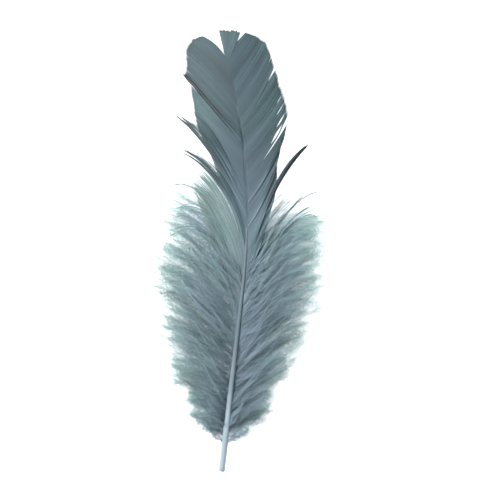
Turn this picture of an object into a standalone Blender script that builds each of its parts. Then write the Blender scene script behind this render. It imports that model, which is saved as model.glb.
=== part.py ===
# Goose quill feather, slate grey, lying flat with its upper side up.
# Metres, +Z up, tip towards +Y. The origin is on the resting surface, under the middle of the feather.
import math

import bmesh
import bpy
import numpy as np
from mathutils import Vector

MM = 0.001
SIDES = {"left": -1, "right": 1}

# Shaft: a round quill that thins into the rachis. Seen from above its lower half is straight and its
# upper half bows back to the left, and seen from the side it is a low arch.
LENGTH = 150 * MM  # quill end to the last barb tip
QUILL_END_Y = -LENGTH / 2
RACHIS_END_Y = 67 * MM
BEND_Y = -12 * MM  # where the upper half starts to bow
BEND_X = 1.5 * MM
LEAN = 0.115  # sideways run of the straight half, per unit of length
BOW = 2.45  # curvature of the upper half, 1/m
QUILL_RADIUS = 1.15 * MM
RACHIS_TIP_RADIUS = 0.42 * MM
BARE_QUILL = 12 * MM  # below the lowest down
ARCH_RISE = 7 * MM
ROOT_OVERLAP = 0.03  # share of its own length that a lock reaches in, past the middle of the shaft
SHAFT_POINTS = 22
SHAFT_BEVEL_RESOLUTION = 2  # eight sides

# Vane: barbs zipped into plates that split near the edge.
VANE_THICKNESS = 0.7 * MM
CAMBER_DROP = 3.5 * MM  # how far the vane is below the shaft at CAMBER_WIDTH
CAMBER_WIDTH = 18 * MM
VANE_CELLS_ALONG = 5

# One row for each zipped plate: side, the two roots along the shaft from low to high, the bend of its
# lowest and highest barb in degrees (above 0 turns towards the tip), how much more the barbs turn at their
# ends, how far its low and its high edge are lifted, and the points of its edge from low to high. All
# lengths are in mm.
VANE_LOCKS = (
    ("left", (36, 64.5), (2, -17), -3, (0.9, 0.1),
     ((-18.8, 59.4), (-18.4, 63.2), (-18.3, 68.6), (-16.3, 72.0), (-12.6, 72.9))),
    ("left", (16, 39), (3, 4), 0, (0.6, 0.3), ((-14.2, 42.6), (-15.4, 46.0), (-15.6, 50.2), (-16.8, 56.4))),
    ("left", (11, 17), (-7, -6), -14, (1.3, 1.3), ((-20.8, 45.8), (-17.4, 45.6))),
    ("left", (-3, 18), (-8, -2), 0, (0.7, 0.3), ((-7.2, 26.0), (-10.2, 33.2), (-13.0, 39.0), (-14.8, 43.5))),
    ("left", (-4, 0), (-27, -24), -8, (0.9, 0.9), ((-19.8, 34.2), (-14.6, 32.0))),
    ("left", (-27, -5), (-10, -18), -4, (1.0, 1.0), ((-11.4, 12.0), (-13.7, 17.5), (-14.5, 23.0), (-12.6, 28.4))),
    ("right", (63, 67), (4, 0), 0, (0.2, 0.2), ((0.8, 74.5), (-1.7, 74.9), (-4.3, 75.0), (-6.7, 74.8))),
    ("right", (41, 66), (7, 3), 0, (0.1, 0.0),
     ((12.2, 62.4), (11.2, 66.7), (9.4, 71.1), (6.1, 73.3), (2.5, 74.3))),
    ("right", (22.5, 44), (8, 7), 0, (0.4, 0.2), ((17.0, 46.2), (16.4, 49.4), (14.5, 55.3), (12.8, 61.8))),
    ("right", (14.5, 23), (8, 7), 0, (0.3, 0.1), ((15.5, 38.6), (16.6, 43.2))),
    ("right", (6.5, 15), (8, 7), 0, (0.3, 0.1), ((12.8, 27.6), (14.0, 32.0), (14.9, 36.2))),
    ("right", (-10, 9), (6, 7), 0, (0.6, 0.2),
     ((9.2, 7.4), (10.6, 12.4), (12.4, 18.0), (13.2, 23.0), (13.2, 28.0))),
    ("right", (-11.5, -10), (-8, -7), -14, (1.0, 1.0), ((23.2, 35.4), (21.2, 34.4))),
)

# Down: three layers of loose locks on each side of the shaft. The pairs run along the down, from its lowest
# lock (0) to its highest (1). Lengths in pairs and layers are in mm, bends and hooks in degrees.
DOWN_LOWEST_ROOT_Y = -61 * MM
DOWN_HIGHEST_ROOT_Y = -2 * MM
DOWN_LOCKS_A_SIDE = 8
DOWN_REACH = ((0, 10), (0.15, 19), (0.35, 26), (0.55, 30), (0.8, 32), (1, 29))  # of the tips, to the side
DOWN_RISE = {  # of the tips, above their roots
    "left": ((0, 3), (0.25, 12), (0.6, 19), (1, 21)),
    "right": ((0, 3), (0.25, 12), (0.6, 18), (1, 12)),
}
DOWN_BEND = {  # above 0 turns towards the feather's tip
    "left": ((0, -6), (0.6, 0), (1, -16)),
    "right": ((0, -6), (0.6, 0), (1, -12)),
}
DOWN_HOOK = ((0, 0), (0.5, -4), (1, -24))  # more turn at the locks' tips
DOWN_PUFF = ((0, 1), (0.6, 1), (1, 0.4))  # of the layers' puff
DOWN_UNEVEN = (0.07, 2.0, 4)  # how much a lock's reach (as a share), rise and bend may differ
DOWN_SEED = 5
DOWN_WIDTH = 2.8 * MM
DOWN_WIDTH_GROWTH = 0.26  # more width, per unit of the lock's length
DOWN_SWELL = ((0, 0.1), (0.2, 0.75), (0.5, 1), (0.8, 0.85), (1, 0.35))  # of the full width, along a lock
DOWN_THICKNESS = 0.9 * MM
DOWN_ROOT_THICKNESS = 0.5 * MM
DOWN_TILT = 2.6 * MM  # how much higher a lock's lower edge is, so that it lies over the lock below
DOWN_CELLS_ALONG = 4
# Each layer has its share of the reach, how far its roots are moved up in lock spacings, how much higher
# its roots are than the shaft's middle, its tips' height above the surface, and its puff halfway out.
DOWN_LAYERS = (
    {"name": "upper", "reach": 0.84, "shift": 0.0, "root": 0.65, "tip": 6.6, "puff": 3.2},
    {"name": "middle", "reach": 0.97, "shift": 0.33, "root": 0.0, "tip": 3.5, "puff": 1.4},
    {"name": "lower", "reach": 0.9, "shift": 0.66, "root": -0.65, "tip": 0.4, "puff": -0.8},
)

FLOOR_BLOCK = 0.2  # a cube that is larger than the feather


def clear_scene():
    for old in list(bpy.data.objects):
        bpy.data.objects.remove(old)


def collection(name):
    made = bpy.data.collections.new(name)
    bpy.context.scene.collection.children.link(made)
    return made


def feather_material():
    made = bpy.data.materials.new("dyed feather keratin")
    made.use_nodes = True
    shader = made.node_tree.nodes["Principled BSDF"]
    shader.inputs["Base Color"].default_value = (0.13, 0.18, 0.21, 1)
    shader.inputs["Roughness"].default_value = 0.6
    shader.inputs["Metallic"].default_value = 0.0
    return made


def shaft_point(y):
    """The middle of the shaft at this distance along it."""
    bowed = max(0.0, y - BEND_Y)
    x = BEND_X + LEAN * (y - BEND_Y) - BOW * bowed**2
    z = QUILL_RADIUS + ARCH_RISE * (1 - (y / QUILL_END_Y) ** 2)
    return Vector((x, y, z))


def shaft_radius(y):
    """Full thickness up to where the down starts, then an even taper."""
    start = QUILL_END_Y + BARE_QUILL
    share = min(1.0, max(0.0, (y - start) / (RACHIS_END_Y - start)))
    return QUILL_RADIUS + (RACHIS_TIP_RADIUS - QUILL_RADIUS) * share**0.8


def vane_height(x, y):
    """The vane's middle surface: it follows the shaft's arch and drops on both sides."""
    shaft = shaft_point(y)
    return shaft.z - CAMBER_DROP * ((x - shaft.x) / CAMBER_WIDTH) ** 2


def turned(direction, degrees):
    angle = math.radians(degrees)
    c, s = math.cos(angle), math.sin(angle)
    return Vector((direction.x * c - direction.y * s, direction.x * s + direction.y * c))


def barb_point(root_y, tip, side, bend, hook, share):
    """A point of one barb seen from above: a curve from the shaft that turns by twice the bend and the hook."""
    root = shaft_point(root_y).to_2d()
    chord = tip - root
    leave = turned(chord, -side * bend) / 3
    arrive = turned(chord, side * (bend + hook)) / 3
    points = (root, root + leave, tip - arrive, tip)
    weights = ((1 - share) ** 3, 3 * share * (1 - share) ** 2, 3 * share**2 * (1 - share), share**3)
    return sum((w * p for w, p in zip(weights, points)), Vector((0, 0)))


def along(points, share):
    """The point at this share of a short list of points, taken evenly."""
    places = np.linspace(0, 1, len(points))
    return [float(np.interp(share, places, values)) for values in zip(*points)]


def valued_at(share, pairs):
    return float(np.interp(share, *zip(*pairs)))


def plate(name, cells_across, cells_along, place, group):
    """A thin closed solid: a flat sheet of cells with an under and an upper side, laid on a curved surface."""
    sheet = bmesh.new()
    bmesh.ops.create_grid(sheet, x_segments=cells_across, y_segments=cells_along, size=0.5)
    raised = bmesh.ops.extrude_face_region(sheet, geom=sheet.faces[:], use_keep_orig=True)
    upper = [item for item in raised["geom"] if isinstance(item, bmesh.types.BMVert)]
    bmesh.ops.translate(sheet, vec=(0, 0, 1), verts=upper)
    for vertex in sheet.verts:
        across = vertex.co.x + 0.5
        out = (vertex.co.y + 0.5) * (1 + ROOT_OVERLAP) - ROOT_OVERLAP
        vertex.co = place(across, out, vertex.co.z - 0.5)
    bmesh.ops.recalc_face_normals(sheet, faces=sheet.faces)
    bmesh.ops.triangulate(sheet, faces=sheet.faces)
    mesh = bpy.data.meshes.new(name)
    sheet.to_mesh(mesh)
    sheet.free()
    made = bpy.data.objects.new(name, mesh)
    group.objects.link(made)
    made.hide_render = True
    made.display_type = "WIRE"
    return made


def vane_lock(number, row, group):
    side_name, (low, high), (low_bend, high_bend), hook, (low_lift, high_lift), edge = row
    side = SIDES[side_name]

    def place(across, out, up):
        root_y = (low + (high - low) * across) * MM
        tip = Vector(along(edge, across)) * MM
        bend = low_bend + (high_bend - low_bend) * across
        lift = (low_lift + (high_lift - low_lift) * across) * MM
        spot = barb_point(root_y, tip, side, bend, hook, out)
        height = vane_height(spot.x, spot.y) + lift * out + VANE_THICKNESS * up
        return Vector((spot.x, spot.y, height))

    return plate(f"vane_{side_name}_{number}", len(edge) - 1, VANE_CELLS_ALONG, place, group)


def down_lock(side_name, number, layer, uneven, group):
    """A leaf-shaped lock of down: thin where it leaves the shaft, full in the middle, narrower at its tip."""
    side = SIDES[side_name]
    last = DOWN_LOCKS_A_SIDE - 1 + DOWN_LAYERS[-1]["shift"]
    share = (number + layer["shift"]) / last
    reach, hook = valued_at(share, DOWN_REACH), valued_at(share, DOWN_HOOK)
    rise, bend = valued_at(share, DOWN_RISE[side_name]), valued_at(share, DOWN_BEND[side_name])
    puff = layer["puff"] * valued_at(share, DOWN_PUFF) * MM
    root_y = DOWN_LOWEST_ROOT_Y + (DOWN_HIGHEST_ROOT_Y - DOWN_LOWEST_ROOT_Y) * share
    reach *= layer["reach"] * (1 + DOWN_UNEVEN[0] * uneven[0])
    rise += DOWN_UNEVEN[1] * uneven[1]
    bend += DOWN_UNEVEN[2] * uneven[2]
    root = shaft_point(root_y)
    tip = root.to_2d() + Vector((side * reach, rise)) * MM
    full_width = DOWN_WIDTH + DOWN_WIDTH_GROWTH * (tip - root.to_2d()).length
    root_height = root.z + layer["root"] * MM
    tip_height = layer["tip"] * MM

    def place(across, out, up):
        swell = valued_at(out, DOWN_SWELL)
        middle = barb_point(root_y, tip, side, bend, hook, out)
        ahead = barb_point(root_y, tip, side, bend, hook, out + 0.01) - middle
        spot = middle + turned(ahead.normalized(), -90 * side) * full_width * swell * (across - 0.5)
        height = root_height + (tip_height - root_height) * out + puff * 4 * out * (1 - out)
        height += DOWN_TILT * swell * (across - 0.5)
        thickness = DOWN_ROOT_THICKNESS + (DOWN_THICKNESS - DOWN_ROOT_THICKNESS) * swell
        return Vector((spot.x, spot.y, height + thickness * up))

    return plate(f"down_{layer['name']}_{side_name}_{number}", 2, DOWN_CELLS_ALONG, place, group)


def shaft(group):
    """The quill and rachis as one tapered tube, with its caps welded."""
    data = bpy.data.curves.new("shaft line", "CURVE")
    data.dimensions = "3D"
    data.bevel_depth = 1.0
    data.bevel_resolution = SHAFT_BEVEL_RESOLUTION
    data.use_fill_caps = True
    line = data.splines.new("POLY")
    line.points.add(SHAFT_POINTS - 1)
    for number, point in enumerate(line.points):
        y = QUILL_END_Y + (RACHIS_END_Y - QUILL_END_Y) * number / (SHAFT_POINTS - 1)
        point.co = (*shaft_point(y), 1)
        point.radius = shaft_radius(y)
    tube = bpy.data.objects.new("shaft line", data)
    group.objects.link(tube)
    bpy.context.view_layer.update()
    graph = bpy.context.evaluated_depsgraph_get()
    mesh = bpy.data.meshes.new_from_object(tube.evaluated_get(graph))
    welded = bmesh.new()
    welded.from_mesh(mesh)
    bmesh.ops.remove_doubles(welded, verts=welded.verts, dist=0.01 * MM)
    bmesh.ops.triangulate(welded, faces=welded.faces)
    welded.to_mesh(mesh)
    welded.free()
    made = bpy.data.objects.new("feather", mesh)
    made.matrix_world = tube.matrix_world
    group.objects.link(made)
    bpy.data.objects.remove(tube)
    return made


def resting_surface(group):
    """A block whose top is the surface that the feather lies on. It flattens what would reach below."""
    bpy.ops.mesh.primitive_cube_add(size=FLOOR_BLOCK, location=(0, 0, -FLOOR_BLOCK / 2))
    block = bpy.context.object
    block.name = "resting surface"
    for holder in list(block.users_collection):
        holder.objects.unlink(block)
    group.objects.link(block)
    block.hide_render = True
    block.display_type = "WIRE"
    return block


def build():
    clear_scene()
    parts = collection("goose quill feather")
    locks = collection("locks")
    cutters = collection("cutters")
    for number, row in enumerate(VANE_LOCKS, 1):
        vane_lock(number, row, locks)
    random = np.random.default_rng(DOWN_SEED)
    for side_name in SIDES:
        for layer in DOWN_LAYERS:
            for number in range(DOWN_LOCKS_A_SIDE):
                down_lock(side_name, number, layer, random.uniform(-1, 1, 3), locks)
    feather = shaft(parts)
    grown = feather.modifiers.new("locks grow from the shaft", "BOOLEAN")
    grown.operation = "UNION"
    grown.operand_type = "COLLECTION"
    grown.collection = locks
    grown.use_self = True
    rest = feather.modifiers.new("rests on the surface", "BOOLEAN")
    rest.operation = "DIFFERENCE"
    rest.object = resting_surface(cutters)
    feather.data.materials.clear()
    feather.data.materials.append(feather_material())
    feather.data.shade_smooth()


build()
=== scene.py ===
# A goose feather dyed slate grey, lying on a white table with its upper side up, seen from straight above.
# Lengths in the dictionaries are millimetres, angles are degrees and colours are sRGB hex. A share runs from
# 0 to 1. Where a value changes, there are pairs of a share, or of a place along the shaft, and the value.
import math

import bpy
import numpy as np
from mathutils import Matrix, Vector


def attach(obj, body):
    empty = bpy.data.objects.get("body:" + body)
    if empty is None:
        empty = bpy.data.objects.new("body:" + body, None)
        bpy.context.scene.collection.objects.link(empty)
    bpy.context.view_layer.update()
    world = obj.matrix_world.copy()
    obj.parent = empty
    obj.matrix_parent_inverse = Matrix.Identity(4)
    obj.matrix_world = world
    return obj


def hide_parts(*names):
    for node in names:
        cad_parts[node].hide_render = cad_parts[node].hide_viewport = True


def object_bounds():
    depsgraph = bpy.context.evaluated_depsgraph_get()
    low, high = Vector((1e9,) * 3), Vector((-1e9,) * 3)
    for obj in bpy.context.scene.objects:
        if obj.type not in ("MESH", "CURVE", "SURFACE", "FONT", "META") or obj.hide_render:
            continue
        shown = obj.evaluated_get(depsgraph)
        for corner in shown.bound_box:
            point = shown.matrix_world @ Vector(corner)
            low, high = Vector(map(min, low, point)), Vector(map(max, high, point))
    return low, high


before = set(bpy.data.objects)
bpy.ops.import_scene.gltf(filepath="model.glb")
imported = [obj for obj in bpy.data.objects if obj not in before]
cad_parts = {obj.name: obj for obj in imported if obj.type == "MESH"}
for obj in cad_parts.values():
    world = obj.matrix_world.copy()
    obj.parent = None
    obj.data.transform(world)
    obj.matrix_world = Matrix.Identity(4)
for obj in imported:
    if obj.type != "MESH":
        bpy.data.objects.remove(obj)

cadBox = [list(corner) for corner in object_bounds()]
mm = 0.001
sides = {"left": -1, "right": 1}

# The plan of the shaft, which every piece follows.
shaft = {
    "quillEnd": -75.0,
    "rachisEnd": 67.0,
    "bendY": -12.0,  # the straight half ends here and the bow to the left begins
    "bendX": 1.5,
    "lean": 0.115,
    "bow": 0.00245,
    "quillRadius": 1.15,
    "archRise": 7.0,
}


def shaftPoint(y):
    y = np.asarray(y, float)
    bowed = np.maximum(0, y - shaft["bendY"])
    x = shaft["bendX"] + shaft["lean"] * (y - shaft["bendY"]) - shaft["bow"] * bowed**2
    z = shaft["quillRadius"] + shaft["archRise"] * (1 - (y / shaft["quillEnd"]) ** 2)
    return np.stack([x, y, z], -1)


def turned(vectors, degrees):
    angle = np.radians(degrees)[..., None]
    c, s = np.cos(angle), np.sin(angle)
    x, y = vectors[..., :1], vectors[..., 1:2]
    return np.concatenate([x * c - y * s, x * s + y * c], -1)


def unit(vectors):
    return vectors / np.maximum(np.linalg.norm(vectors, axis=-1, keepdims=True), 1e-9)


def smoothStep(low, high, values):
    share = np.clip((values - low) / (high - low), 0, 1)
    return share * share * (3 - 2 * share)


def valueAlong(pairs, share):
    return np.interp(share, *zip(*pairs))


def wander(rng, count, step, size):
    # smooth random values, one for each barb, that change over about this many barbs
    knots = rng.normal(0, size, int(count / step) + 3)
    return np.interp(np.arange(count) / step, np.arange(len(knots)), knots)


def wanderAndNoise(rng, count, step, size, noise):
    # the same, with noise from barb to barb; the dictionaries give the step, the size and the noise
    return wander(rng, count, step, size) + rng.normal(0, noise, count)


def curved(pulls, share):
    # cubic curves from the first of the four pulls to the last
    s = share[..., None]
    weights = ((1 - s) ** 3, 3 * s * (1 - s) ** 2, 3 * s**2 * (1 - s), s**3)
    return sum(weight * pull[:, None] for weight, pull in zip(weights, pulls))


def barbPaths(roots, tips, side, bend, share, hook=0.0):
    # barbs seen from above: they leave the shaft at the bend angle, and at the tip they turn by it again and
    # by the hook
    bend = np.broadcast_to(np.asarray(bend, float), (len(roots),))
    hook = np.broadcast_to(np.asarray(hook, float), (len(roots),))
    chord = tips - roots
    leave = roots + turned(chord, -side * bend) / 3
    arrive = tips - turned(chord, side * (bend + hook)) / 3
    return curved((roots, leave, arrive, tips), share)


def directions(paths):
    ahead = unit(np.gradient(paths, axis=1))
    level = unit(np.cross(ahead, (0, 0, 1)))
    return ahead, level, np.cross(level, ahead)


def strands(paths, across, up, section, ids, along, dyeAndShade):
    # Closed tapering strands. paths, across and up are (n, m, 3) and the last point of each path is its tip.
    # The section's points (a, u) run from the left over the top to the right. dyeAndShade is the tone, (n,
    # m), (n, 1) or one number: the dye's own, and on the rolled barbs of the vane painted shade as well.
    n, m, _ = paths.shape
    across, up = np.broadcast_to(across, paths.shape), np.broadcast_to(up, paths.shape)
    dyeAndShade = np.broadcast_to(dyeAndShade, along.shape)
    a, u = np.moveaxis(np.array(section, float), -1, 0)
    k = a.shape[-1]
    rings = paths[:, :-1, None] + across[:, :-1, None] * a[..., None] + up[:, :-1, None] * u[..., None]
    verts = np.concatenate([rings.reshape(n, -1, 3), paths[:, -1:]], 1)
    ring = np.arange(k)
    following = (ring + 1) % k
    starts = np.arange(m - 2)[:, None] * k
    quads = np.stack([starts + ring, starts + following, starts + k + following, starts + k + ring], -1)
    last = (m - 2) * k
    tipFaces = np.stack([last + ring, last + following, np.full(k, k * (m - 1))], -1)
    ringAcross = np.broadcast_to((a + 1) / 2, (m - 1, k)).ravel()
    return {
        "verts": verts.reshape(-1, 3),
        "perStrand": k * (m - 1) + 1,
        "count": n,
        "faces": [quads.reshape(-1, 4), tipFaces, ring[::-1][None]],
        "along": np.concatenate([np.repeat(along[:, :-1], k, 1), along[:, -1:]], 1).ravel(),
        "across": np.concatenate([np.tile(ringAcross, (n, 1)), np.full((n, 1), 0.5)], 1).ravel(),
        "id": np.repeat(ids, k * (m - 1) + 1),
        "dyeAndShade": np.concatenate([np.repeat(dyeAndShade[:, :-1], k, 1), dyeAndShade[:, -1:]], 1).ravel(),
    }


# The texture layout has a column for each barb, from root to tip, with these margins.
layout = {"columnMargin": 0.1, "endMargin": 0.01}


def featherPiece(name, groups, material, idCount):
    # one object from groups of strands
    besides, ends = layout["columnMargin"], layout["endMargin"]
    verts, loops, totals, uvs = [], [], [], []
    base = 0
    for group in groups:
        offsets = base + np.arange(group["count"]) * group["perStrand"]
        u = (group["id"] + besides + (1 - 2 * besides) * group["across"]) / idCount
        uv = np.stack([u, ends + (1 - 2 * ends) * group["along"]], -1)
        for faces in group["faces"]:
            corners = (offsets[:, None, None] + faces[None]).reshape(-1, faces.shape[1])
            loops.append(corners.ravel())
            uvs.append(uv[corners.ravel() - base])
            totals.append(np.full(len(corners), faces.shape[1]))
        verts.append(group["verts"])
        base += len(group["verts"])
    verts, loops, totals, uvs = (np.concatenate(part) for part in (verts, loops, totals, uvs))
    mesh = bpy.data.meshes.new(name)
    mesh.vertices.add(len(verts))
    mesh.vertices.foreach_set("co", (verts * mm).astype(np.float32).ravel())
    mesh.loops.add(len(loops))
    mesh.loops.foreach_set("vertex_index", loops.astype(np.int32))
    mesh.polygons.add(len(totals))
    mesh.polygons.foreach_set("loop_start", (np.cumsum(totals) - totals).astype(np.int32))
    mesh.polygons.foreach_set("loop_total", totals.astype(np.int32))
    mesh.polygons.foreach_set("use_smooth", np.ones(len(totals), bool))
    mesh.update(calc_edges=True)
    mesh.uv_layers.new(name="OFBake").data.foreach_set("uv", uvs.astype(np.float32).ravel())
    # each point's tone: the dye's own, with painted shade on the vane's rolled barbs
    dyeAndShade = np.concatenate([group["dyeAndShade"] for group in groups]).astype(np.float32)
    tones = mesh.attributes.new("dyeAndShade", "FLOAT", "POINT")
    tones.data.foreach_set("value", dyeAndShade)
    mesh.materials.append(material)
    piece = bpy.data.objects.new(name, mesh)
    bpy.context.scene.collection.objects.link(piece)
    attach(piece, "root")
    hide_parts("feather")
    print(f"{name}: {int((totals - 2).sum())} triangles")


def linear(hexColour):
    channels = [int(hexColour[i : i + 2], 16) / 255 for i in (1, 3, 5)]
    return [c / 12.92 if c <= 0.04045 else ((c + 0.055) / 1.055) ** 2.4 for c in channels] + [1.0]


def addNode(tree, kind, settings=None, links=None):
    # text keys that the node has are its settings; all others are its sockets
    made = tree.nodes.new(kind)
    for key, value in (settings or {}).items():
        if isinstance(key, str) and hasattr(made, key):
            setattr(made, key, value)
        else:
            made.inputs[key].default_value = value
    for key, socket in (links or {}).items():
        tree.links.new(socket, made.inputs[key])
    return made


def newMaterial(name):
    made = bpy.data.materials.new(name)
    made.use_nodes = True
    made.node_tree.nodes.clear()
    return made, made.node_tree


# How finely the dye's blotches are broken up, and the middle range that most of their noise lies in.
toneBlotch = {"detail": 2.0, "middle": (0.3, 0.7)}
hueBlotch = {"detail": 1.0, "middle": (0.35, 0.65)}


def blotches(tree, place, kind, size, values):
    # soft patches of about this size
    settings = {"Scale": 1 / (size * mm), "Detail": kind["detail"]}
    noise = addNode(tree, "ShaderNodeTexNoise", settings, {"Vector": place})
    (low, high), (lowest, highest) = kind["middle"], values
    spread = {"From Min": low, "From Max": high, "To Min": lowest, "To Max": highest}
    return addNode(tree, "ShaderNodeMapRange", spread, {"Value": noise.outputs["Fac"]}).outputs["Result"]


def keratin(name, look):
    # Feather keratin, piece dyed in a bath: the dye takes unevenly, so each barb has its own tone, and soft
    # blotches, some bluer and some greener, lie over the whole feather. It lets light through, so one layer
    # looks paler than many.
    made, tree = newMaterial(name)
    columns = addNode(tree, "ShaderNodeUVMap", {"uv_map": "OFBake"})
    rootToTip = addNode(tree, "ShaderNodeSeparateXYZ", links={"Vector": columns.outputs["UV"]})
    colour = addNode(tree, "ShaderNodeValToRGB", links={"Fac": rootToTip.outputs["Y"]})
    while len(colour.color_ramp.elements) < len(look["colours"]):
        colour.color_ramp.elements.new(0.5)
    for element, (spot, dyed) in zip(colour.color_ramp.elements, look["colours"]):
        element.position = spot
        element.color = linear(dyed)
    place = addNode(tree, "ShaderNodeTexCoord").outputs["Object"]
    tones = (1 - look["blotchTone"], 1 + look["blotchTone"])
    blotchTone = blotches(tree, place, toneBlotch, look["blotchSize"], tones)
    # each barb's own dye tone, and on the vane's rolled barbs painted shade
    own = addNode(tree, "ShaderNodeAttribute", {"attribute_name": "dyeAndShade"})
    tone = addNode(tree, "ShaderNodeMath", {"operation": "MULTIPLY"}, {0: blotchTone, 1: own.outputs["Fac"]})
    hue = blotches(tree, place, hueBlotch, look["hueSize"], look["hues"])
    toned = addNode(
        tree,
        "ShaderNodeHueSaturation",
        links={"Color": colour.outputs["Color"], "Value": tone.outputs[0], "Hue": hue},
    )
    surface = addNode(
        tree,
        "ShaderNodeBsdfPrincipled",
        {"Roughness": look["roughness"], "IOR": look["ior"]},
        {"Base Color": toned.outputs["Color"]},
    )
    through = addNode(tree, "ShaderNodeBsdfTranslucent", {"Color": linear(look["throughColour"])})
    layers = {1: surface.outputs[0], 2: through.outputs[0]}
    both = addNode(tree, "ShaderNodeMixShader", {0: look["lightThrough"]}, layers)
    addNode(tree, "ShaderNodeOutputMaterial", links={"Surface": both.outputs[0]})
    return made


# A loose barb is a stalk with four sides. Free barbules are fine hairs on both sides of a barb that isn't
# zipped to its neighbours.
barbSection = ((-1, 0), (0, 1), (1, 0), (0, -1))
hair = {
    "section": ((-1, -0.5), (0, 1), (1, -0.5)),
    "firstRoot": 0.005,
    "rootsOver": 0.99,  # the share of the barb that bears hairs
    "lengths": (0.6, 1.25),  # of the usual length
    "tones": (0.9, 1.12),
    "thinnerAtTip": 0.4,
    "flatness": 0.8,
    "lowest": 0.1,
}


def barbules(paths, ids, dyeAndShade, look, rng, firstShare=0.0, fluff=1.0):
    # a barb that is zipped near the shaft has free barbules only past its first share
    count, points, _ = paths.shape
    ahead, _, _ = directions(paths)
    per = look["barbulesASide"]
    every = (2, count, per)
    share = (np.arange(per) + rng.uniform(0, 1, every)) / per
    share = firstShare + (1 - firstShare) * (hair["firstRoot"] + hair["rootsOver"] * share)
    spots = share * (points - 1)
    index = np.minimum(spots.astype(int), points - 2)
    part = (spots - index)[..., None]
    which = np.arange(count)[None, :, None]
    start = paths[which, index] * (1 - part) + paths[which, index + 1] * part
    forward = unit(ahead[which, index] * (1 - part) + ahead[which, index + 1] * part)
    level = unit(np.cross(forward, (0, 0, 1)))
    above = np.cross(level, forward)
    sign = np.array([-1.0, 1.0])[:, None, None, None]
    roll = rng.normal(0, look["barbRoll"], (1, count, 1)) + rng.normal(0, look["barbuleRoll"], every)
    roll = np.radians(roll)[..., None]
    outward = sign * (level * np.cos(roll) + above * np.sin(roll))
    angle = np.radians(look["barbuleAngle"] + rng.normal(0, look["angleNoise"], every))[..., None]
    leave = forward * np.cos(angle) + outward * np.sin(angle)
    fluff = np.broadcast_to(fluff, (count,))[None, :, None]
    length = valueAlong(look["barbuleLengths"], share) * fluff * rng.uniform(*hair["lengths"], every)
    hairs = np.stack([start, start + leave * length[..., None]], -2).reshape(-1, 2, 3)
    hairs[..., 2] = np.maximum(hairs[..., 2], hair["lowest"])
    run = unit(hairs[:, 1:] - hairs[:, :1])
    sideways = unit(np.cross(run, (0, 0, 1)))
    upwards = np.cross(sideways, run) * hair["flatness"]
    half = (look["barbuleWidth"] / 2 * (1 - hair["thinnerAtTip"] * share)).reshape(-1, 1, 1)
    hairIds = np.broadcast_to(ids[None, :, None], every).reshape(-1)
    hairDye = (dyeAndShade[None, :, None] * rng.uniform(*hair["tones"], every)).reshape(-1, 1)
    along = np.repeat(share.reshape(-1, 1), 2, 1)
    return strands(hairs, sideways * half, upwards * half, hair["section"], hairIds, along, hairDye)


# The vane: plates of barbs that hook into each other.
vane = {
    "camberDrop": 3.5,
    "camberWidth": 18.0,
    "flatHeight": 0.12,  # near this height it flattens out, where its camber would dip into the table
    "flatSoftness": 0.5,
    "pointsAlong": 20,
    "webThickness": 0.07,
    "thicknessAlong": (1.2, 0.8),  # at the root, and how much of it goes by the tip
    "rootOverlap": 0.24,  # how far each side's barbs begin beyond the shaft's middle, which closes the seam
    "narrowest": 0.1,  # that a zipped barb is
    "looseWidth": 0.12,  # of a barb without its barbules
    "tipFrom": 0.86,  # from here on a barb narrows to tipWidth
    "tipWidth": 0.3,
    "tipRound": 1.5,
    "usualLength": 30,  # of a barb, to turn the fringe into a share
    "fringeWander": (5, 0.6, 0.5),
    "furthestEnd": 0.015,  # the share of its length that a barb may run past the edge
    "looseTips": 1.6,
    "looseShorter": 0.3,
    "looseHeight": 1.0,
    "clumpChance": 0.09,  # that a new clump begins at a barb
    "splitsOpen": (0.6, 1.05),  # between these shares of the barbs
    "slitReach": 0.06,  # the share of the plate that gives way on each side of a slit
    "liftFades": 3,  # the low edge's lift has gone over to the high edge's a third of the plate further
    "ripple": (7, 0.14, 0.03),  # of the web's height
    "roll": (6, 7, 2.5),  # of the barbs about their own length
    "rollLimit": 12,
    "rolledSpacing": 0.26,  # over that of the zipped barbs
    "rolledHeight": 0.35,
    "rolledReach": 0.05,
    "rolledShift": 0.16,
    "zippedUpTo": (0.85, 1.1),  # less by how far the barbs have come apart
    "barbTone": 0.06,
    "streakTone": 0.08,
    "streakBarbs": 6,
    "toneLimits": (0.75, 1.25),
    "alongTone": 0.05,
    "alongBarbs": 9,
    "alongSpots": 4,
    "alongUpTo": 1.1,  # some barbs run a little past their plate's edge
    "toneByY": ((-30, 1.12), (-4, 1.39), (22, 1.27), (36, 1.02), (42, 0.98), (75, 0.98)),
    "barbulesASide": 40,
    "barbuleLengths": ((0, 0.9), (0.5, 1.4), (1, 0.7)),
    "barbuleWidth": 0.05,
    "barbuleAngle": 36,
    "angleNoise": 7,
    "barbuleRoll": 12,
    "barbRoll": 8,
    "seed": 4,
}
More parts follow.
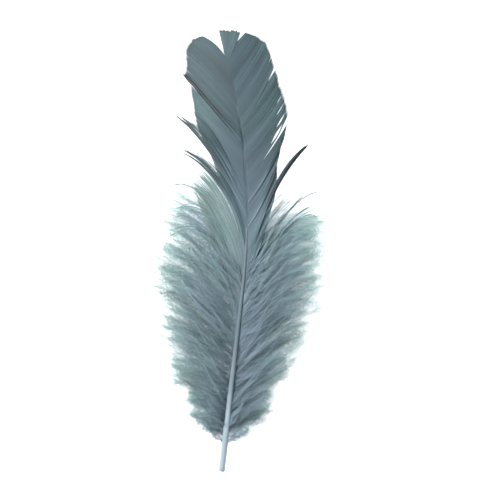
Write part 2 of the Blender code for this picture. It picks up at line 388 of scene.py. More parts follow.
# Each plate lies between two roots along the shaft. bends: of its lowest and highest barb, above 0 turns to
# the tip. lift: of its low and high edge. tone: how pale it is. split: how far its small splits open. edge:
# the points of its edge from low to high. What a plate doesn't give is as here.
plainPlate = {
    "apart": 0,  # how far its barbs have come apart, 0 is zipped and 1 is all loose
    "hook": 0,  # the turn at the barbs' ends
    "half": False,  # the half zipped barbs, where the vane turns into down
    "spacing": 0.34,
    "overlap": 1.65,  # a barb's width over the gap to its neighbour, so that the web is closed
    "fringe": 0.5,
    "slits": (),  # of each: its place across the plate, the shares where it starts, gapes and ends, its width
    "rolled": 0,  # how many barbs are rolled up into a line along its low edge, darkened with painted shade
    "rolledWidth": 0.32,
    # the tone of the painted shade on the rolled line, which stands for the shadow and dark edge where one
    # plate lies over the next
    "rolledShade": 0.5,
    "shadeFrom": (0.1, 0.5),  # the line's painted shade deepens between these shares
}
# rolledShade and shadeFrom set painted shade: the dark line along a plate's low edge stands for the shadow
# and dark edge where one plate lies over the next
vanePlates = (
    dict(side="left", roots=(36, 64.5), bends=(2, -17), lift=(0.9, 0.1), hook=-3, tone=0.73, split=0.04,
         rolled=11, rolledWidth=0.6, rolledShade=0.4,
         edge=((-18.9, 59.6), (-18.4, 63.2), (-18.3, 68.6), (-16.3, 72.0), (-12.6, 72.9))),
    dict(side="left", roots=(16, 39), bends=(3, 4), lift=(0.6, 0.3), tone=0.86, split=0.05, rolled=2,
         edge=((-14.2, 42.6), (-15.4, 46.0), (-15.7, 50.4), (-17.0, 56.8))),
    dict(side="left", roots=(11, 17), bends=(-7, -6), lift=(1.3, 1.3), apart=0.4, hook=-14, tone=0.95,
         split=0.2, rolled=6, rolledWidth=0.4, edge=((-21.0, 45.9), (-16.0, 46.8))),
    dict(side="left", roots=(-3, 18), bends=(-8, -2), lift=(0.7, 0.3), tone=0.95, split=0.08, rolled=2,
         edge=((-7.2, 26.0), (-10.2, 33.2), (-13.0, 39.0), (-14.8, 43.5))),
    dict(side="left", roots=(-4, 0), bends=(-27, -24), lift=(0.9, 0.9), apart=0.35, hook=-8, tone=0.95,
         split=0.2, rolled=6, rolledWidth=0.4, shadeFrom=(0.4, 0.62), edge=((-20.0, 34.3), (-14.2, 32.0))),
    dict(side="left", roots=(-27, -3), bends=(-10, -22), lift=(1.0, 1.0), apart=0.12, hook=-4, tone=0.77,
         split=0.06, half=True, edge=((-12.4, 13.0), (-15.2, 19.5), (-15.8, 25.5), (-13.4, 31.2))),
    dict(side="left", roots=(-34, -18), bends=(8, 2), lift=(1.4, 1.4), apart=0.8, hook=4, tone=1.1,
         split=0.4, half=True, spacing=0.8, overlap=0.75, edge=((-8.5, -14.0), (-11.5, -2.0), (-13.0, 12.0))),
    dict(side="right", roots=(63, 67), bends=(4, 0), lift=(0.2, 0.2), tone=0.86, split=0.1, fringe=2.2,
         edge=((0.8, 74.5), (-1.7, 74.9), (-4.3, 75.0), (-6.7, 74.8))),
    dict(side="right", roots=(41, 66), bends=(7, 3), lift=(0.1, 0.0), tone=0.87, split=0.1, fringe=0.8,
         edge=((12.2, 62.4), (11.2, 66.7), (9.4, 71.1), (6.1, 73.3), (2.5, 74.3))),
    dict(side="right", roots=(22.5, 44), bends=(8, 7), lift=(0.4, 0.2), tone=0.82, split=0.08,
         slits=((0.07, (0.5, 0.68, 0.86), 0.9), (0.2, (0.66, 0.8, 0.94), 0.6),
                (0.41, (0.68, 0.84, 0.97), 0.42), (0.56, (0.76, 0.87, 0.97), 0.36)),
         edge=((17.0, 46.2), (16.4, 49.4), (14.5, 55.3), (12.8, 61.8))),
    dict(side="right", roots=(14.5, 23), bends=(8, 7), lift=(0.3, 0.1), tone=0.85, split=0.06,
         rolled=9, rolledWidth=0.52, rolledShade=0.32, shadeFrom=(0.3, 0.7),
         edge=((15.5, 38.6), (16.6, 43.2))),
    dict(side="right", roots=(6.5, 15), bends=(8, 7), lift=(0.3, 0.1), tone=0.9, split=0.1,
         rolled=9, rolledWidth=0.5, rolledShade=0.32, shadeFrom=(0.3, 0.65),
         edge=((12.8, 27.6), (14.0, 32.0), (14.9, 36.2))),
    dict(side="right", roots=(-10, 9), bends=(6, 7), lift=(0.6, 0.2), tone=1.07, split=0.12,
         rolled=5, rolledWidth=0.42, rolledShade=0.34, shadeFrom=(0.8, 1.0),
         slits=((0.72, (0.7, 0.9, 1.1), 0.9),),
         edge=((8.4, 4.0), (10.6, 12.0), (12.4, 18.0), (13.2, 23.0), (13.2, 28.0))),
    dict(side="right", roots=(-11.5, -10), bends=(-8, -7), lift=(0.7, 0.5), apart=0.1, hook=-14, tone=0.98,
         split=0.1, rolled=12, rolledWidth=0.75, rolledShade=0.22, shadeFrom=(0.38, 0.6),
         edge=((23.3, 35.4), (21.4, 34.4))),
    dict(side="right", roots=(-16, -10.5), bends=(-9, -11), lift=(0.5, 0.8), apart=0.6, hook=-16, tone=1.22,
         split=0.3, edge=((20.4, 17.4), (17.2, 21.0))),
    dict(side="right", roots=(-34, -14), bends=(8, 2), lift=(1.4, 1.4), apart=0.8, hook=4, tone=1.33,
         split=0.4, half=True, spacing=0.8, overlap=0.75, edge=((10.0, -14.0), (12.5, -3.0), (14.0, 10.0))),
)
# Single barbs that have sprung out of the vane: each one's root, the two points that pull its curve, its tip.
sprungBarbs = {
    "barbsEach": 2,
    "points": 24,
    "spread": 0.5,
    "spreadAlong": (0.2, 0.6, 1, 1.6),
    "lowest": 2.0,
    "rise": 1.2,
    "width": 0.33,
    "thinnerAtTip": 0.5,
    "tones": (0.9, 1.15),
    "bareUpTo": 0.35,
    "fluff": 0.5,
    "seed": 100,
    "left": (
        ((1.4, -12), (-7, 14), (-14, 17), (-21, 14.5)),
        ((1.4, -10), (-8, 20), (-16, 24), (-22.5, 22)),
        ((1.4, -15), (-8, 8), (-15, 10), (-23, 6)),
    ),
    "right": (
        ((1.4, -13), (9, 9), (24, 22.5), (29.6, 19.8)),
        ((1.4, -14), (10, 8), (24, 22), (27.6, 20)),
        ((1.2, -15), (10, 6), (24, 18.5), (29.0, 16)),
        ((1.2, -16), (10, 4), (23, 15.5), (27, 13)),
    ),
}
vaneLook = {
    "colours": ((0.0, "#546872"), (0.3, "#576c76"), (0.88, "#5a7279"), (1.0, "#465c62")),
    "roughness": 0.5,
    "ior": 1.54,
    "lightThrough": 0.16,
    "throughColour": "#8fa9ab",
    "blotchSize": 14,
    "blotchTone": 0.08,
    "hueSize": 22,
    "hues": (0.485, 0.51),  # 0.5 is the dye itself, less is greener
}
# Where the vane turns into down its barbs are thin and half open, so they are paler and greener.
halfZippedLook = {
    "colours": ((0.0, "#7c8f9a"), (0.4, "#839a9f"), (1.0, "#8fa9a5")),
    "roughness": 0.6,
    "ior": 1.54,
    "lightThrough": 0.25,
    "throughColour": "#a9c4c2",
    "blotchSize": 10,
    "blotchTone": 0.06,
    "hueSize": 20,
    "hues": (0.485, 0.505),
}
# A barb of the web is a flat strip with its shaft as a low ridge.
webSection = ((-1, -0.5), (0.35, 1), (1, -0.2), (0.3, -1))


def edgePoints(edge, across):
    edge = np.array(edge, float)
    places = np.linspace(0, 1, len(edge))
    return np.stack([np.interp(across, places, edge[:, i]) for i in range(2)], -1)


def vaneHeight(points):
    centre = shaftPoint(points[..., 1])
    aside = (points[..., 0] - centre[..., 0]) / vane["camberWidth"]
    return centre[..., 2] - vane["camberDrop"] * aside**2


def aboveTable(height):
    lowest, soft = vane["flatHeight"], vane["flatSoftness"]
    return lowest + 0.5 * (height - lowest + np.sqrt((height - lowest) ** 2 + soft**2)) - 0.25 * soft


def acrossPlate(plate):
    # where each barb is across the plate, from 0 at its low edge to 1; the rolled ones come first
    edgeLength = np.linalg.norm(np.diff(np.array(plate["edge"], float), axis=0), axis=1).sum()
    low, high = plate["roots"]
    inWeb, rolled = int(max(high - low, edgeLength) / plate["spacing"]), plate["rolled"]
    lineBarbs = np.linspace(0, vane["rolledSpacing"] * rolled, rolled) / inWeb
    return np.concatenate([lineBarbs, (np.arange(inWeb) + 0.5) / inWeb]), np.arange(rolled + inWeb) < rolled


def barbsFromAbove(plate, across, isRolled, rng):
    side, apart, count = sides[plate["side"]], plate["apart"], len(across)
    (low, high), (lowBend, highBend) = plate["roots"], plate["bends"]
    roots = shaftPoint(low + (high - low) * across)[:, :2]
    roots[:, 0] -= side * vane["rootOverlap"]
    bend = lowBend + (highBend - lowBend) * across
    even = np.tile(np.linspace(0, 1, vane["pointsAlong"]), (count, 1))
    neat = barbPaths(roots, edgePoints(plate["edge"], across), side, bend, even)
    tips = neat[:, -1] + rng.normal(0, vane["looseTips"], (count, 2)) * apart
    hooks = plate["hook"] * (1 + rng.uniform(-1, 1, count) * apart)
    ends = wanderAndNoise(rng, count, *vane["fringeWander"]) * plate["fringe"] / vane["usualLength"]
    ends = np.minimum(ends - rng.random(count) * vane["looseShorter"] * apart, vane["furthestEnd"])
    ends = np.where(isRolled, vane["rolledReach"] * rng.uniform(-1, 1, count), ends)
    share = even * (1 + ends)[:, None]
    flat = barbPaths(roots, tips, side, bend, share, hooks)
    ahead = unit(np.gradient(flat, axis=1))
    sideways = np.stack([ahead[..., 1], -ahead[..., 0]], -1)
    gap = np.abs(np.sum(np.gradient(neat, axis=0) * sideways, -1))
    # small splits: neighbours stay together and whole groups shift apart towards the edge
    clump = np.cumsum(rng.random(count) < vane["clumpChance"])
    rolledShove = rng.normal(0, vane["rolledShift"], count)
    shove = np.where(isRolled, rolledShove, rng.normal(0, plate["split"], clump.max() + 1)[clump])
    flat = flat + sideways * (smoothStep(*vane["splitsOpen"], share) * shove[:, None])[..., None]
    for spot, (closed, widest, opened), wide in plate["slits"]:
        apartBy = np.sign(across - spot) * np.exp(-np.abs(across - spot) / vane["slitReach"]) * wide / 2
        gape = smoothStep(closed, widest, share) * (1 - smoothStep(widest, opened, share))
        flat = flat - side * sideways * (gape * apartBy[:, None])[..., None]
    return flat, share, gap


def raisedBarbs(plate, across, isRolled, flat, share, rng):
    lowLift, highLift = plate["lift"]
    lift = lowLift + (highLift - lowLift) * np.minimum(vane["liftFades"] * across, 1)
    height = vaneHeight(flat) + (lift + vane["rolledHeight"] * isRolled)[:, None] * share
    height += wanderAndNoise(rng, len(across), *vane["ripple"])[:, None] * share
    height += rng.normal(0, vane["looseHeight"], len(across))[:, None] * plate["apart"] * share**2
    return np.concatenate([flat, aboveTable(height)[..., None]], -1)


def barbWidths(plate, isRolled, share, gap):
    # a zipped barb is as wide as its web, a loose one is a bare stalk, a rolled one lies in the line of
    # painted shade
    webWidth = np.maximum(gap * plate["overlap"], vane["narrowest"])
    low, high = vane["zippedUpTo"]
    apart = plate["apart"]
    zipped = 1 - smoothStep(low - apart, high - apart, share) if apart else 1.0
    width = vane["looseWidth"] + (webWidth - vane["looseWidth"]) * zipped
    width = np.where(isRolled[:, None], plate["rolledWidth"], width)
    towardsTip = np.clip((share - vane["tipFrom"]) / (1 - vane["tipFrom"]), 0, 1)
    return width * (1 - (1 - vane["tipWidth"]) * towardsTip ** vane["tipRound"])


def barbTones(plate, isRolled, flat, share, rng):
    # each barb's own tone, and the tone along it, with painted shade on the rolled barbs
    count = len(isRolled)
    tone = 1 + rng.normal(0, vane["barbTone"], count)
    tone = tone + wander(rng, count, vane["streakBarbs"], vane["streakTone"])
    own = plate["tone"] * np.clip(tone, *vane["toneLimits"])
    spots = vane["alongSpots"]
    drift = np.stack([wander(rng, count, vane["alongBarbs"], vane["alongTone"]) for _ in range(spots)], 1)
    places = np.linspace(0, vane["alongUpTo"], spots)
    drift = np.stack([np.interp(row, places, values) for row, values in zip(share, drift)])
    # painted shade: the rolled barbs darken further out along them, standing for the shadow and dark edge
    # where the plate lies over the next
    dark = 1 - (1 - plate["rolledShade"]) * isRolled[:, None] * smoothStep(*plate["shadeFrom"], share)
    return own, own[:, None] * (1 + drift) * dark * valueAlong(vane["toneByY"], flat[..., 1])


def vanePlate(plate, number, firstId):
    rng = np.random.default_rng((vane["seed"], number))
    across, isRolled = acrossPlate(plate)
    count = len(across)
    flat, share, gap = barbsFromAbove(plate, across, isRolled, rng)
    paths = raisedBarbs(plate, across, isRolled, flat, share, rng)
    _, level, above = directions(paths)
    roll = np.clip(wanderAndNoise(rng, count, *vane["roll"]), -vane["rollLimit"], vane["rollLimit"])
    roll = np.radians(roll)[:, None, None]
    half = (barbWidths(plate, isRolled, share, gap) / 2)[..., None]
    atRoot, thinning = vane["thicknessAlong"]
    thick = (vane["webThickness"] * (atRoot - thinning * share))[..., None]
    wide = (level * np.cos(roll) + above * np.sin(roll)) * half
    deep = (above * np.cos(roll) - level * np.sin(roll)) * thick
    ids = firstId + np.arange(count, dtype=float)
    own, tones = barbTones(plate, isRolled, flat, share, rng)
    groups = [strands(paths, wide, deep, webSection, ids, share, tones)]
    if plate["apart"]:
        openFrom = max(0.0, vane["zippedUpTo"][0] - plate["apart"])
        groups.append(barbules(paths, ids, own, vane, rng, openFrom))
    return groups, count


def sprungGroups(sideName, firstId):
    rng = np.random.default_rng((vane["seed"], sprungBarbs["seed"] + sides[sideName]))
    pulls = np.repeat(np.array(sprungBarbs[sideName], float), sprungBarbs["barbsEach"], 0)
    spread = np.array(sprungBarbs["spreadAlong"])[:, None]
    pulls = pulls + rng.normal(0, sprungBarbs["spread"], pulls.shape) * spread
    share = np.tile(np.linspace(0, 1, sprungBarbs["points"]), (len(pulls), 1))
    flat = curved(pulls.transpose(1, 0, 2), share)
    height = np.maximum(vaneHeight(flat), sprungBarbs["lowest"]) + sprungBarbs["rise"] * share
    paths = np.concatenate([flat, height[..., None]], -1)
    _, level, above = directions(paths)
    half = (sprungBarbs["width"] / 2 * (1 - sprungBarbs["thinnerAtTip"] * share))[..., None]
    ids = firstId + np.arange(len(pulls), dtype=float)
    dyeAndShade = rng.uniform(*sprungBarbs["tones"], len(pulls))
    groups = [strands(paths, level * half, above * half, barbSection, ids, share, dyeAndShade[:, None])]
    groups.append(barbules(paths, ids, dyeAndShade, vane, rng, sprungBarbs["bareUpTo"], sprungBarbs["fluff"]))
    return groups, len(pulls)


def pieceOf(plate):
    if plate["half"]:
        return "half_zipped"
    return "loose_barbs" if plate["apart"] else "vane"


def vanePieces():
    zipped = keratin("dyed feather keratin, zipped barbs", vaneLook)
    halfZipped = keratin("dyed feather keratin, half zipped barbs", halfZippedLook)
    plates = [{**plainPlate, **given} for given in vanePlates]
    for sideName in sides:
        for pieceName in ("vane", "loose_barbs", "half_zipped"):
            groups, idCount = [], 0
            for number, plate in enumerate(plates):
                if plate["side"] == sideName and pieceOf(plate) == pieceName:
                    made, count = vanePlate(plate, number, idCount)
                    groups += made
                    idCount += count
            if pieceName == "loose_barbs":
                made, count = sprungGroups(sideName, idCount)
                groups += made
                idCount += count
            material = halfZipped if pieceName == "half_zipped" else zipped
            featherPiece(f"{pieceName}_{sideName}", groups, material, idCount)


vanePieces()

# The down: long loose barbs in three layers on each side, gathered in wisps.
down = {
    "lowestRoot": -61.0,
    "highestRoot": -2.0,
    "locksASide": 8,
    "reach": ((0, 10), (0.15, 19), (0.35, 26), (0.55, 30), (0.8, 32), (1, 29)),
    "rise": {
        "left": ((0, 3), (0.25, 12), (0.6, 19), (1, 22)),
        "right": ((0, 3), (0.25, 12), (0.6, 18), (1, 12)),
    },
    "bend": {"left": ((0, -6), (0.6, 0), (1, -16)), "right": ((0, -6), (0.6, 0), (1, -12))},
    "hook": ((0, 0), (0.5, -4), (1, -24)),
    "puffAlong": ((0, 0.3), (0.2, 1), (0.6, 1), (1, 0.1)),
    "widest": 30.6,  # on each side
    "curlBack": 0.65,  # how much of what reaches past the widest curls back
    "lowest": 0.3,
    "unevenReach": 0.07,
    "unevenRise": 2.0,
    "unevenBend": 4,
    "unevenSeed": 5,
    "width": 2.8,
    "widthGrowth": 0.26,
    "tilt": 2.6,
    "barbsALock": ((0, 11), (0.2, 14), (0.6, 16), (1, 19)),
    "laneJitter": (0.1, 0.9),
    "wispsALock": 3,
    "wispDrift": 0.06,
    "wispTurn": 3.0,
    "wispBend": 4.0,
    "wispHeight": (-1.2, 0.4),
    "barbTurn": 9.0,
    "barbBend": 13.0,
    "barbHook": 14.0,
    "barbHeight": 0.5,
    "roundEnd": (1.08, 0.12),  # the reach of a lock's middle barb, and how much less its outer ones reach
    "leafShape": (0.75, 0.8),  # below 1 the lock is widest nearer its root, and fuller
    "tipSpread": 1.0,
    "tipsApart": (0.3, 0.8),  # between these shares the barbs stop drawing together
    "gather": 0.1,
    "gatherAlong": (0.3, 1),
    "barbPoints": 18,
    "barbWidth": 0.1,
    "thinnerAtTip": 0.75,
    "wave": 0.8,
    "waveAlong": (0, 0.5),
    "waveTurns": (0.7, 1.8),
    "waveHeight": 0.3,
    "toneAlong": {
        "left": ((0, 1), (0.5, 1), (0.8, 1.1), (1, 1.25)),
        "right": ((0, 1.05), (0.3, 1.1), (0.55, 1.19), (1, 1.38)),
    },
    "toneLimits": (0.75, 1.3),
    "wispTone": 0.05,
    "barbTone": 0.08,
    "fluff": ((0, 1.35), (0.15, 1.05), (0.3, 1), (0.8, 1), (1, 0.7)),
    "barbulesASide": 108,
    "barbuleLengths": ((0, 0.5), (0.06, 0.9), (0.14, 1.9), (0.5, 2.2), (0.85, 2.0), (1, 1.1)),
    "barbuleWidth": 0.085,
    "barbuleAngle": 52,
    "angleNoise": 12,
    "barbuleRoll": 28,
    "barbRoll": 18,
    "seed": 5,
}
# Pale stray barbs that come up out of the upper layer and curve towards the feather's tip.
strays = {
    "count": 56,
    "rootsUpTo": 0.94,
    "angles": (30, 60),  # from straight ahead
    "lengths": (0.5, 1.0),
    "bend": (18, 12),  # and how much it differs
    "hook": 25,
    "curls": (1, 1, 3),  # a third of them curl
    "rootDepth": 0.8,
    "tip": 7.8,
    "tipUneven": (-1.5, 1.0),
    "puff": 3.4,
    "highest": 11.5,
    "width": 0.15,
    "thinnerAtTip": 0.7,
    "tones": (1.1, 1.5),
    "toneAlong": ((0, 0.65), (0.35, 1)),
    "barbulesASide": 36,
    "bareUpTo": 0.1,
    "fluff": 0.5,
}
# reach: of the layer, over the full reach. shift: how much further along the shaft its locks begin than the
# upper layer's, where 1 is a whole lock. root: its roots' height over the shaft's middle. tip: the height of
# its tips. puff: how much it bulges between them. wisps: how strongly its barbs gather in wisps. unruly: how
# much they differ from each other. shortest: the least share of the reach that a barb has. fluff: how long
# its barbules are.
downLayers = (
    {"name": "upper", "reach": 0.84, "shift": 0.0, "root": -0.9, "tip": 6.4, "puff": 2.6, "wisps": 1.0,
     "unruly": 1.0, "shortest": 0.7, "fluff": 0.95},
    {"name": "middle", "reach": 0.97, "shift": 0.33, "root": -0.9, "tip": 3.5, "puff": 1.2, "wisps": 0.7,
     "unruly": 0.9, "shortest": 0.75, "fluff": 1.1},
    {"name": "lower", "reach": 0.9, "shift": 0.66, "root": -0.65, "tip": 0.4, "puff": -0.8, "wisps": 0.0,
     "unruly": 0.4, "shortest": 0.85, "fluff": 1.5},
)
downLook = {
    "colours": ((0.0, "#8ca0ad"), (0.3, "#98adba"), (0.6, "#a0b8c2"), (0.8, "#a9c4c8"), (1.0, "#b4d2c6")),
    "roughness": 0.75,
    "ior": 1.54,
    "lightThrough": 0.35,
    "throughColour": "#b3cdca",
    "blotchSize": 9,
    "blotchTone": 0.12,
    "hueSize": 18,
    "hues": (0.495, 0.517),
}


def lockPlace(layer, number):
    # the share of the way up the down, the root's place along the shaft and the space to the next lock
    last = down["locksASide"] - 1 + downLayers[-1]["shift"]
    share = (number + layer["shift"]) / last
    rootY = down["lowestRoot"] + (down["highestRoot"] - down["lowestRoot"]) * share
    return share, rootY, (down["highestRoot"] - down["lowestRoot"]) / last


def lockChord(sideName, layer, share, uneven):
    # the line from the lock's root to its tip, and how it bends
    reach = valueAlong(down["reach"], share) * layer["reach"] * (1 + down["unevenReach"] * uneven[0])
    rise = valueAlong(down["rise"][sideName], share) + down["unevenRise"] * uneven[1]
    bend = valueAlong(down["bend"][sideName], share) + down["unevenBend"] * uneven[2]
    return np.array([sides[sideName] * reach, rise]), bend


def lockLanes(share, rng):
    # a barb's lane is its place across the lock, from -0.5 to 0.5, and so is its wisp's
    count, wisps = int(round(valueAlong(down["barbsALock"], share))), down["wispsALock"]
    lane = (np.arange(count) + rng.uniform(*down["laneJitter"], count)) / count - 0.5
    wisp = np.minimum(((lane + 0.5) * wisps).astype(int), wisps - 1)
    wispLane = (wisp + 0.5) / wisps - 0.5 + rng.normal(0, down["wispDrift"], wisps)[wisp]
    return lane, wisp, wispLane


def ownChords(chord, bend, layer, lane, wisp, rng):
    # each barb turns, bends and ends in its own way, and partly as its wisp does
    count, wisps = len(lane), down["wispsALock"]
    turn = rng.normal(0, down["wispTurn"] * layer["wisps"], wisps)[wisp]
    turn += rng.normal(0, down["barbTurn"] * layer["unruly"], count)
    bends = bend + rng.normal(0, down["wispBend"] * layer["wisps"], wisps)[wisp]
    bends += rng.normal(0, down["barbBend"] * layer["unruly"], count)
    middleReach, lessOutside = down["roundEnd"]
    ends = (middleReach - lessOutside * (2 * lane) ** 2) * rng.uniform(layer["shortest"], 1, count)
    return turned(np.tile(chord, (count, 1)), turn) * ends[:, None], bends


def lockHeights(layer, share, shaftHeight, aslant, along, wisp, ripple, rng):
    rootHeight = shaftHeight + layer["root"]
    puff = layer["puff"] * valueAlong(down["puffAlong"], share)
    height = rootHeight + (layer["tip"] - rootHeight) * along + puff * 4 * along * (1 - along)
    height += down["tilt"] * aslant
    ownHeight = rng.uniform(*down["wispHeight"], down["wispsALock"])[wisp]
    ownHeight = ownHeight + rng.uniform(-down["barbHeight"], down["barbHeight"], len(wisp))
    height += ownHeight[:, None] * along
    height += down["waveHeight"] * ripple * along
    return np.maximum(height, down["lowest"])


def lockTones(sideName, share, wisp, rng):
    dyeAndShade = 1 + rng.normal(0, down["wispTone"], down["wispsALock"])[wisp]
    dyeAndShade = dyeAndShade + rng.normal(0, down["barbTone"], len(wisp))
    return np.clip(dyeAndShade, *down["toneLimits"]) * valueAlong(down["toneAlong"][sideName], share)


def downLock(sideName, layer, number, uneven, rng):
    side = sides[sideName]
    share, rootY, spacing = lockPlace(layer, number)
    root = shaftPoint(rootY)
    chord, bend = lockChord(sideName, layer, share, uneven)
    lane, wisp, wispLane = lockLanes(share, rng)
    count = len(lane)
    chords, bends = ownChords(chord, bend, layer, lane, wisp, rng)
    along = np.tile(np.linspace(0, 1, down["barbPoints"]), (count, 1))
    roots = np.tile(root[:2], (count, 1))
    hooks = valueAlong(down["hook"], share) + rng.normal(0, down["barbHook"] * layer["unruly"], count)
    middle = barbPaths(roots, roots + chords, side, bends, along, hooks)
    ahead = unit(np.gradient(middle, axis=1))
    sideways = side * np.stack([ahead[..., 1], -ahead[..., 0]], -1)
    # the lock is a leaf in plan, but its barbs stay apart at the tip
    widestAt, fullness = down["leafShape"]
    spread = np.maximum(np.sin(np.pi * along**widestAt), 0) ** fullness
    spread = np.maximum(spread, down["tipSpread"] * smoothStep(*down["tipsApart"], along))
    gather = down["gather"] * layer["wisps"] * smoothStep(*down["gatherAlong"], along)
    laneNow = lane[:, None] + (wispLane - lane)[:, None] * gather
    fullWidth = down["width"] + down["widthGrowth"] * np.linalg.norm(chord)
    start = shaftPoint(rootY - lane * spacing)[:, :2] - root[:2]
    phase, turns = rng.uniform(0, 2 * np.pi, (count, 1)), rng.uniform(*down["waveTurns"], (count, 1))
    wave = down["wave"] * np.sin(2 * np.pi * turns * along + phase) * smoothStep(*down["waveAlong"], along)
    flat = middle + sideways * (fullWidth * laneNow * spread + wave)[..., None]
    flat = flat + start[:, None] * ((1 - along) ** 3)[..., None]
    beyond = np.maximum(side * flat[..., 0] - down["widest"], 0)
    flat[..., 0] -= side * beyond * down["curlBack"]
    ripple = np.sin(2 * np.pi * along * turns + 2 * phase)
    height = lockHeights(layer, share, root[2], spread * laneNow, along, wisp, ripple, rng)
    dyeAndShade = lockTones(sideName, share, wisp, rng)
    fluff = np.full(count, valueAlong(down["fluff"], share) * layer["fluff"])
    return np.concatenate([flat, height[..., None]], -1), dyeAndShade, fluff


def strayBarbs(side, rng):
    count = strays["count"]
    share = (np.arange(count) + rng.uniform(0, 1, count)) / count
    rootY = down["lowestRoot"] + (down["highestRoot"] - down["lowestRoot"]) * share * strays["rootsUpTo"]
    roots = shaftPoint(rootY)
    angle = np.radians(rng.uniform(*strays["angles"], count))
    length = valueAlong(down["reach"], share) * rng.uniform(*strays["lengths"], count)
    chords = np.stack([side * np.sin(angle), np.cos(angle)], -1) * length[:, None]
    along = np.tile(np.linspace(0, 1, down["barbPoints"]), (count, 1))
    bends = rng.normal(*strays["bend"], count)
    hooks = rng.normal(0, strays["hook"], count) * rng.choice(strays["curls"], count)
    flat = barbPaths(roots[:, :2], roots[:, :2] + chords, side, bends, along, hooks)
    tip = strays["tip"] + rng.uniform(*strays["tipUneven"], count)[:, None]
    straight = roots[:, 2:] - strays["rootDepth"] + (tip - roots[:, 2:]) * along
    height = np.minimum(straight + strays["puff"] * 4 * along * (1 - along), strays["highest"])
    return np.concatenate([flat, height[..., None]], -1), rng.uniform(*strays["tones"], count)


def stalks(paths, ids, tone, piece, width):
    along = np.tile(np.linspace(0, 1, paths.shape[1]), (len(paths), 1))
    _, level, above = directions(paths)
    half = (width / 2 * (1 - piece["thinnerAtTip"] * along))[..., None]
    return strands(paths, level * half, above * half, barbSection, ids, along, tone)


def downPiece(sideName, layer, uneven, material, rng):
    locks = [downLock(sideName, layer, number, uneven[number], rng) for number in range(down["locksASide"])]
    paths, dyeAndShade, fluff = (np.concatenate(part) for part in zip(*locks))
    count = len(paths)
    ids = np.arange(count, dtype=float)
    groups = [stalks(paths, ids, dyeAndShade[:, None], down, down["barbWidth"])]
    groups.append(barbules(paths, ids, dyeAndShade, down, rng, 0.0, fluff))
    if layer["name"] == "upper":
        paths, dyeAndShade = strayBarbs(sides[sideName], rng)
        ids = count + np.arange(len(paths), dtype=float)
        count += len(paths)
        tone = dyeAndShade[:, None] * valueAlong(strays["toneAlong"], np.linspace(0, 1, down["barbPoints"]))
        groups.append(stalks(paths, ids, tone, strays, strays["width"]))
        look = {**down, "barbulesASide": strays["barbulesASide"]}
        groups.append(barbules(paths, ids, dyeAndShade, look, rng, strays["bareUpTo"], strays["fluff"]))
    featherPiece(f"down_{layer['name']}_{sideName}", groups, material, count)


def downPieces():
    shape = (len(sides), len(downLayers), down["locksASide"], 3)
    uneven = np.random.default_rng(down["unevenSeed"]).uniform(-1, 1, shape)
    material = keratin("dyed goose down, unzipped barbules", downLook)
    for sideNumber, sideName in enumerate(sides):
        for layerNumber, layer in enumerate(downLayers):
            rng = np.random.default_rng((down["seed"], sideNumber, layerNumber))
            downPiece(sideName, layer, uneven[sideNumber, layerNumber], material, rng)


downPieces()

# The quill and the rachis that it becomes: smooth horn, bright where it is bare.
quill = {
    "tipRadius": 0.17,
    "end": 70.0,
    "taperStart": -62.0,
    "taper": 0.75,  # below 1 it thins faster at first
    "rings": 160,
    "sides": 16,
    "wall": 0.2,
    "hollowDepth": 5.0,
    "hollowWide": 0.8,  # of its depth, from there on it narrows
    "hollowEnd": 0.4,  # of its radius, at its bottom
    "rimRound": 0.07,
    # how deep it lies along the feather, because the barbs of the vane almost close over it
    "sunk": ((-67, 0), (-61, -0.3), (-42, -0.25), (-25, 0), (0, 0.42), (8, 0.55), (20, 0.5), (32, 0.43),
             (41, 0.41), (46, 0.34), (57, 0.3), (64, 0.35)),
}
quillLook = {
    # The lighter band from 0.68 to 0.78 is painted light, which evens out the shade that the vane's barbs
    # cast on the sunk rachis there.
    "colours": ((0.0, "#a9bcc4"), (0.14, "#a3b5be"), (0.21, "#7d8e98"), (0.33, "#687983"), (0.48, "#606f78"),
                (0.59, "#5e6e77"), (0.68, "#76878f"), (0.78, "#83959c"), (0.84, "#5d6d75"), (0.9, "#687980"),
                (1.0, "#5c6c73")),
    "roughness": 0.27,
    "ior": 1.54,
    "lightThrough": 0.1,
    "throughColour": "#a9bfc2",
    "blotchSize": 6,
    "blotchTone": 0.05,
    "hueSize": 20,
    "hues": (0.49, 0.505),
}


def quillPiece():
    cut = shaft["quillEnd"]
    y = np.linspace(cut, quill["end"], quill["rings"])
    share = np.clip((y - quill["taperStart"]) / (shaft["rachisEnd"] - quill["taperStart"]), 0, 1)
    radius = shaft["quillRadius"] + (quill["tipRadius"] - shaft["quillRadius"]) * share ** quill["taper"]
    radius[0] -= quill["rimRound"]
    y[1] = cut + quill["rimRound"]
    # the hollow runs in from the cut end, so the rings start at its bottom and turn at the rim
    inner = shaft["quillRadius"] - quill["wall"]
    depth = quill["hollowDepth"]
    y = np.concatenate([[cut + depth, cut + quill["hollowWide"] * depth, cut], y])
    radius = np.concatenate([[quill["hollowEnd"] * inner, inner, inner], radius])
    path = shaftPoint(y)[None]
    path[..., 2] -= valueAlong(quill["sunk"], y)
    slope = shaftPoint(y + 0.5) - shaftPoint(y - 0.5)
    ahead = unit(slope)[None]
    level = unit(np.cross(ahead, (0, 0, 1)))
    above = np.cross(level, ahead)
    turn = np.linspace(np.pi, -np.pi, quill["sides"], endpoint=False)
    section = [(math.cos(angle), math.sin(angle)) for angle in turn]
    along = np.clip((y - cut) / (quill["end"] - cut), 0, 1)[None]
    size = radius[None, :, None]
    group = strands(path, level * size, above * size, section, np.zeros(1), along, 1.0)
    featherPiece("quill", [group], keratin("smooth quill horn", quillLook), 1)


quillPiece()

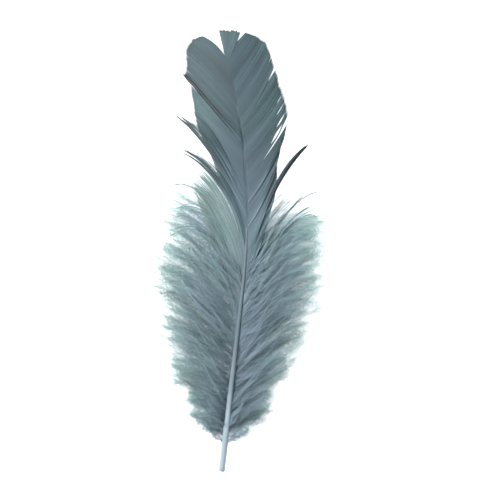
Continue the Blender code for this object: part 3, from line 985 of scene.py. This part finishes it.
# A table of lit opal glass, which looks white and even and takes almost no shadow, soft light from all round,
# a lamp from the left and a broad weak one.
studio = {
    "tableColour": "#f2f4f5",
    "tableSize": 3000.0,
    "tableRoughness": 0.9,
    "tableGlow": 1.0,
    "tableDepth": 0.1,  # below the feather's lowest point
    "skyStrength": 0.36,
    "lamps": (
        {"at": (-520, 260, 620), "size": 200, "power": 11.0},
        {"at": (300, -200, 900), "size": 700, "power": 1.0},
    ),
}
camera = {
    "height": 700.0,
    "lens": 100.0,
    "viewHeight": 170.0,
    "farthest": 10000.0,
}


def table():
    height = cadBox[0][2] - studio["tableDepth"] * mm
    bpy.ops.mesh.primitive_plane_add(size=studio["tableSize"] * mm, location=(0, 0, height))
    top = bpy.context.object
    top.name = "table"
    made, tree = newMaterial("matte white opal glass")
    surface = addNode(
        tree,
        "ShaderNodeBsdfPrincipled",
        {
            "Base Color": linear(studio["tableColour"]),
            "Roughness": studio["tableRoughness"],
            "Emission Color": linear("#ffffff"),
            "Emission Strength": studio["tableGlow"],
        },
    )
    addNode(tree, "ShaderNodeOutputMaterial", links={"Surface": surface.outputs[0]})
    top.data.materials.append(made)


def light():
    sky = bpy.data.worlds.new("studio")
    sky.use_nodes = True
    background = sky.node_tree.nodes["Background"]
    background.inputs["Color"].default_value = linear("#ffffff")
    background.inputs["Strength"].default_value = studio["skyStrength"]
    bpy.context.scene.world = sky
    for number, lamp in enumerate(studio["lamps"]):
        data = bpy.data.lights.new(f"softbox {number + 1}", "AREA")
        data.shape = "SQUARE"
        data.size = lamp["size"] * mm
        data.energy = lamp["power"]
        made = bpy.data.objects.new(data.name, data)
        made.location = [value * mm for value in lamp["at"]]
        made.rotation_euler = (-made.location).to_track_quat("-Z", "Y").to_euler()
        bpy.context.scene.collection.objects.link(made)


def cameraAbove():
    data = bpy.data.cameras.new("camera")
    data.sensor_fit = "VERTICAL"
    data.lens = camera["lens"]
    data.sensor_height = camera["viewHeight"] / camera["height"] * camera["lens"]
    data.clip_end = camera["farthest"] * mm
    made = bpy.data.objects.new("camera", data)
    made.location = (0, 0, camera["height"] * mm)
    bpy.context.scene.collection.objects.link(made)
    bpy.context.scene.camera = made


table()
light()
cameraAbove()
bpy.context.scene.view_settings.view_transform = "Standard"
print("table, light and camera are in place")
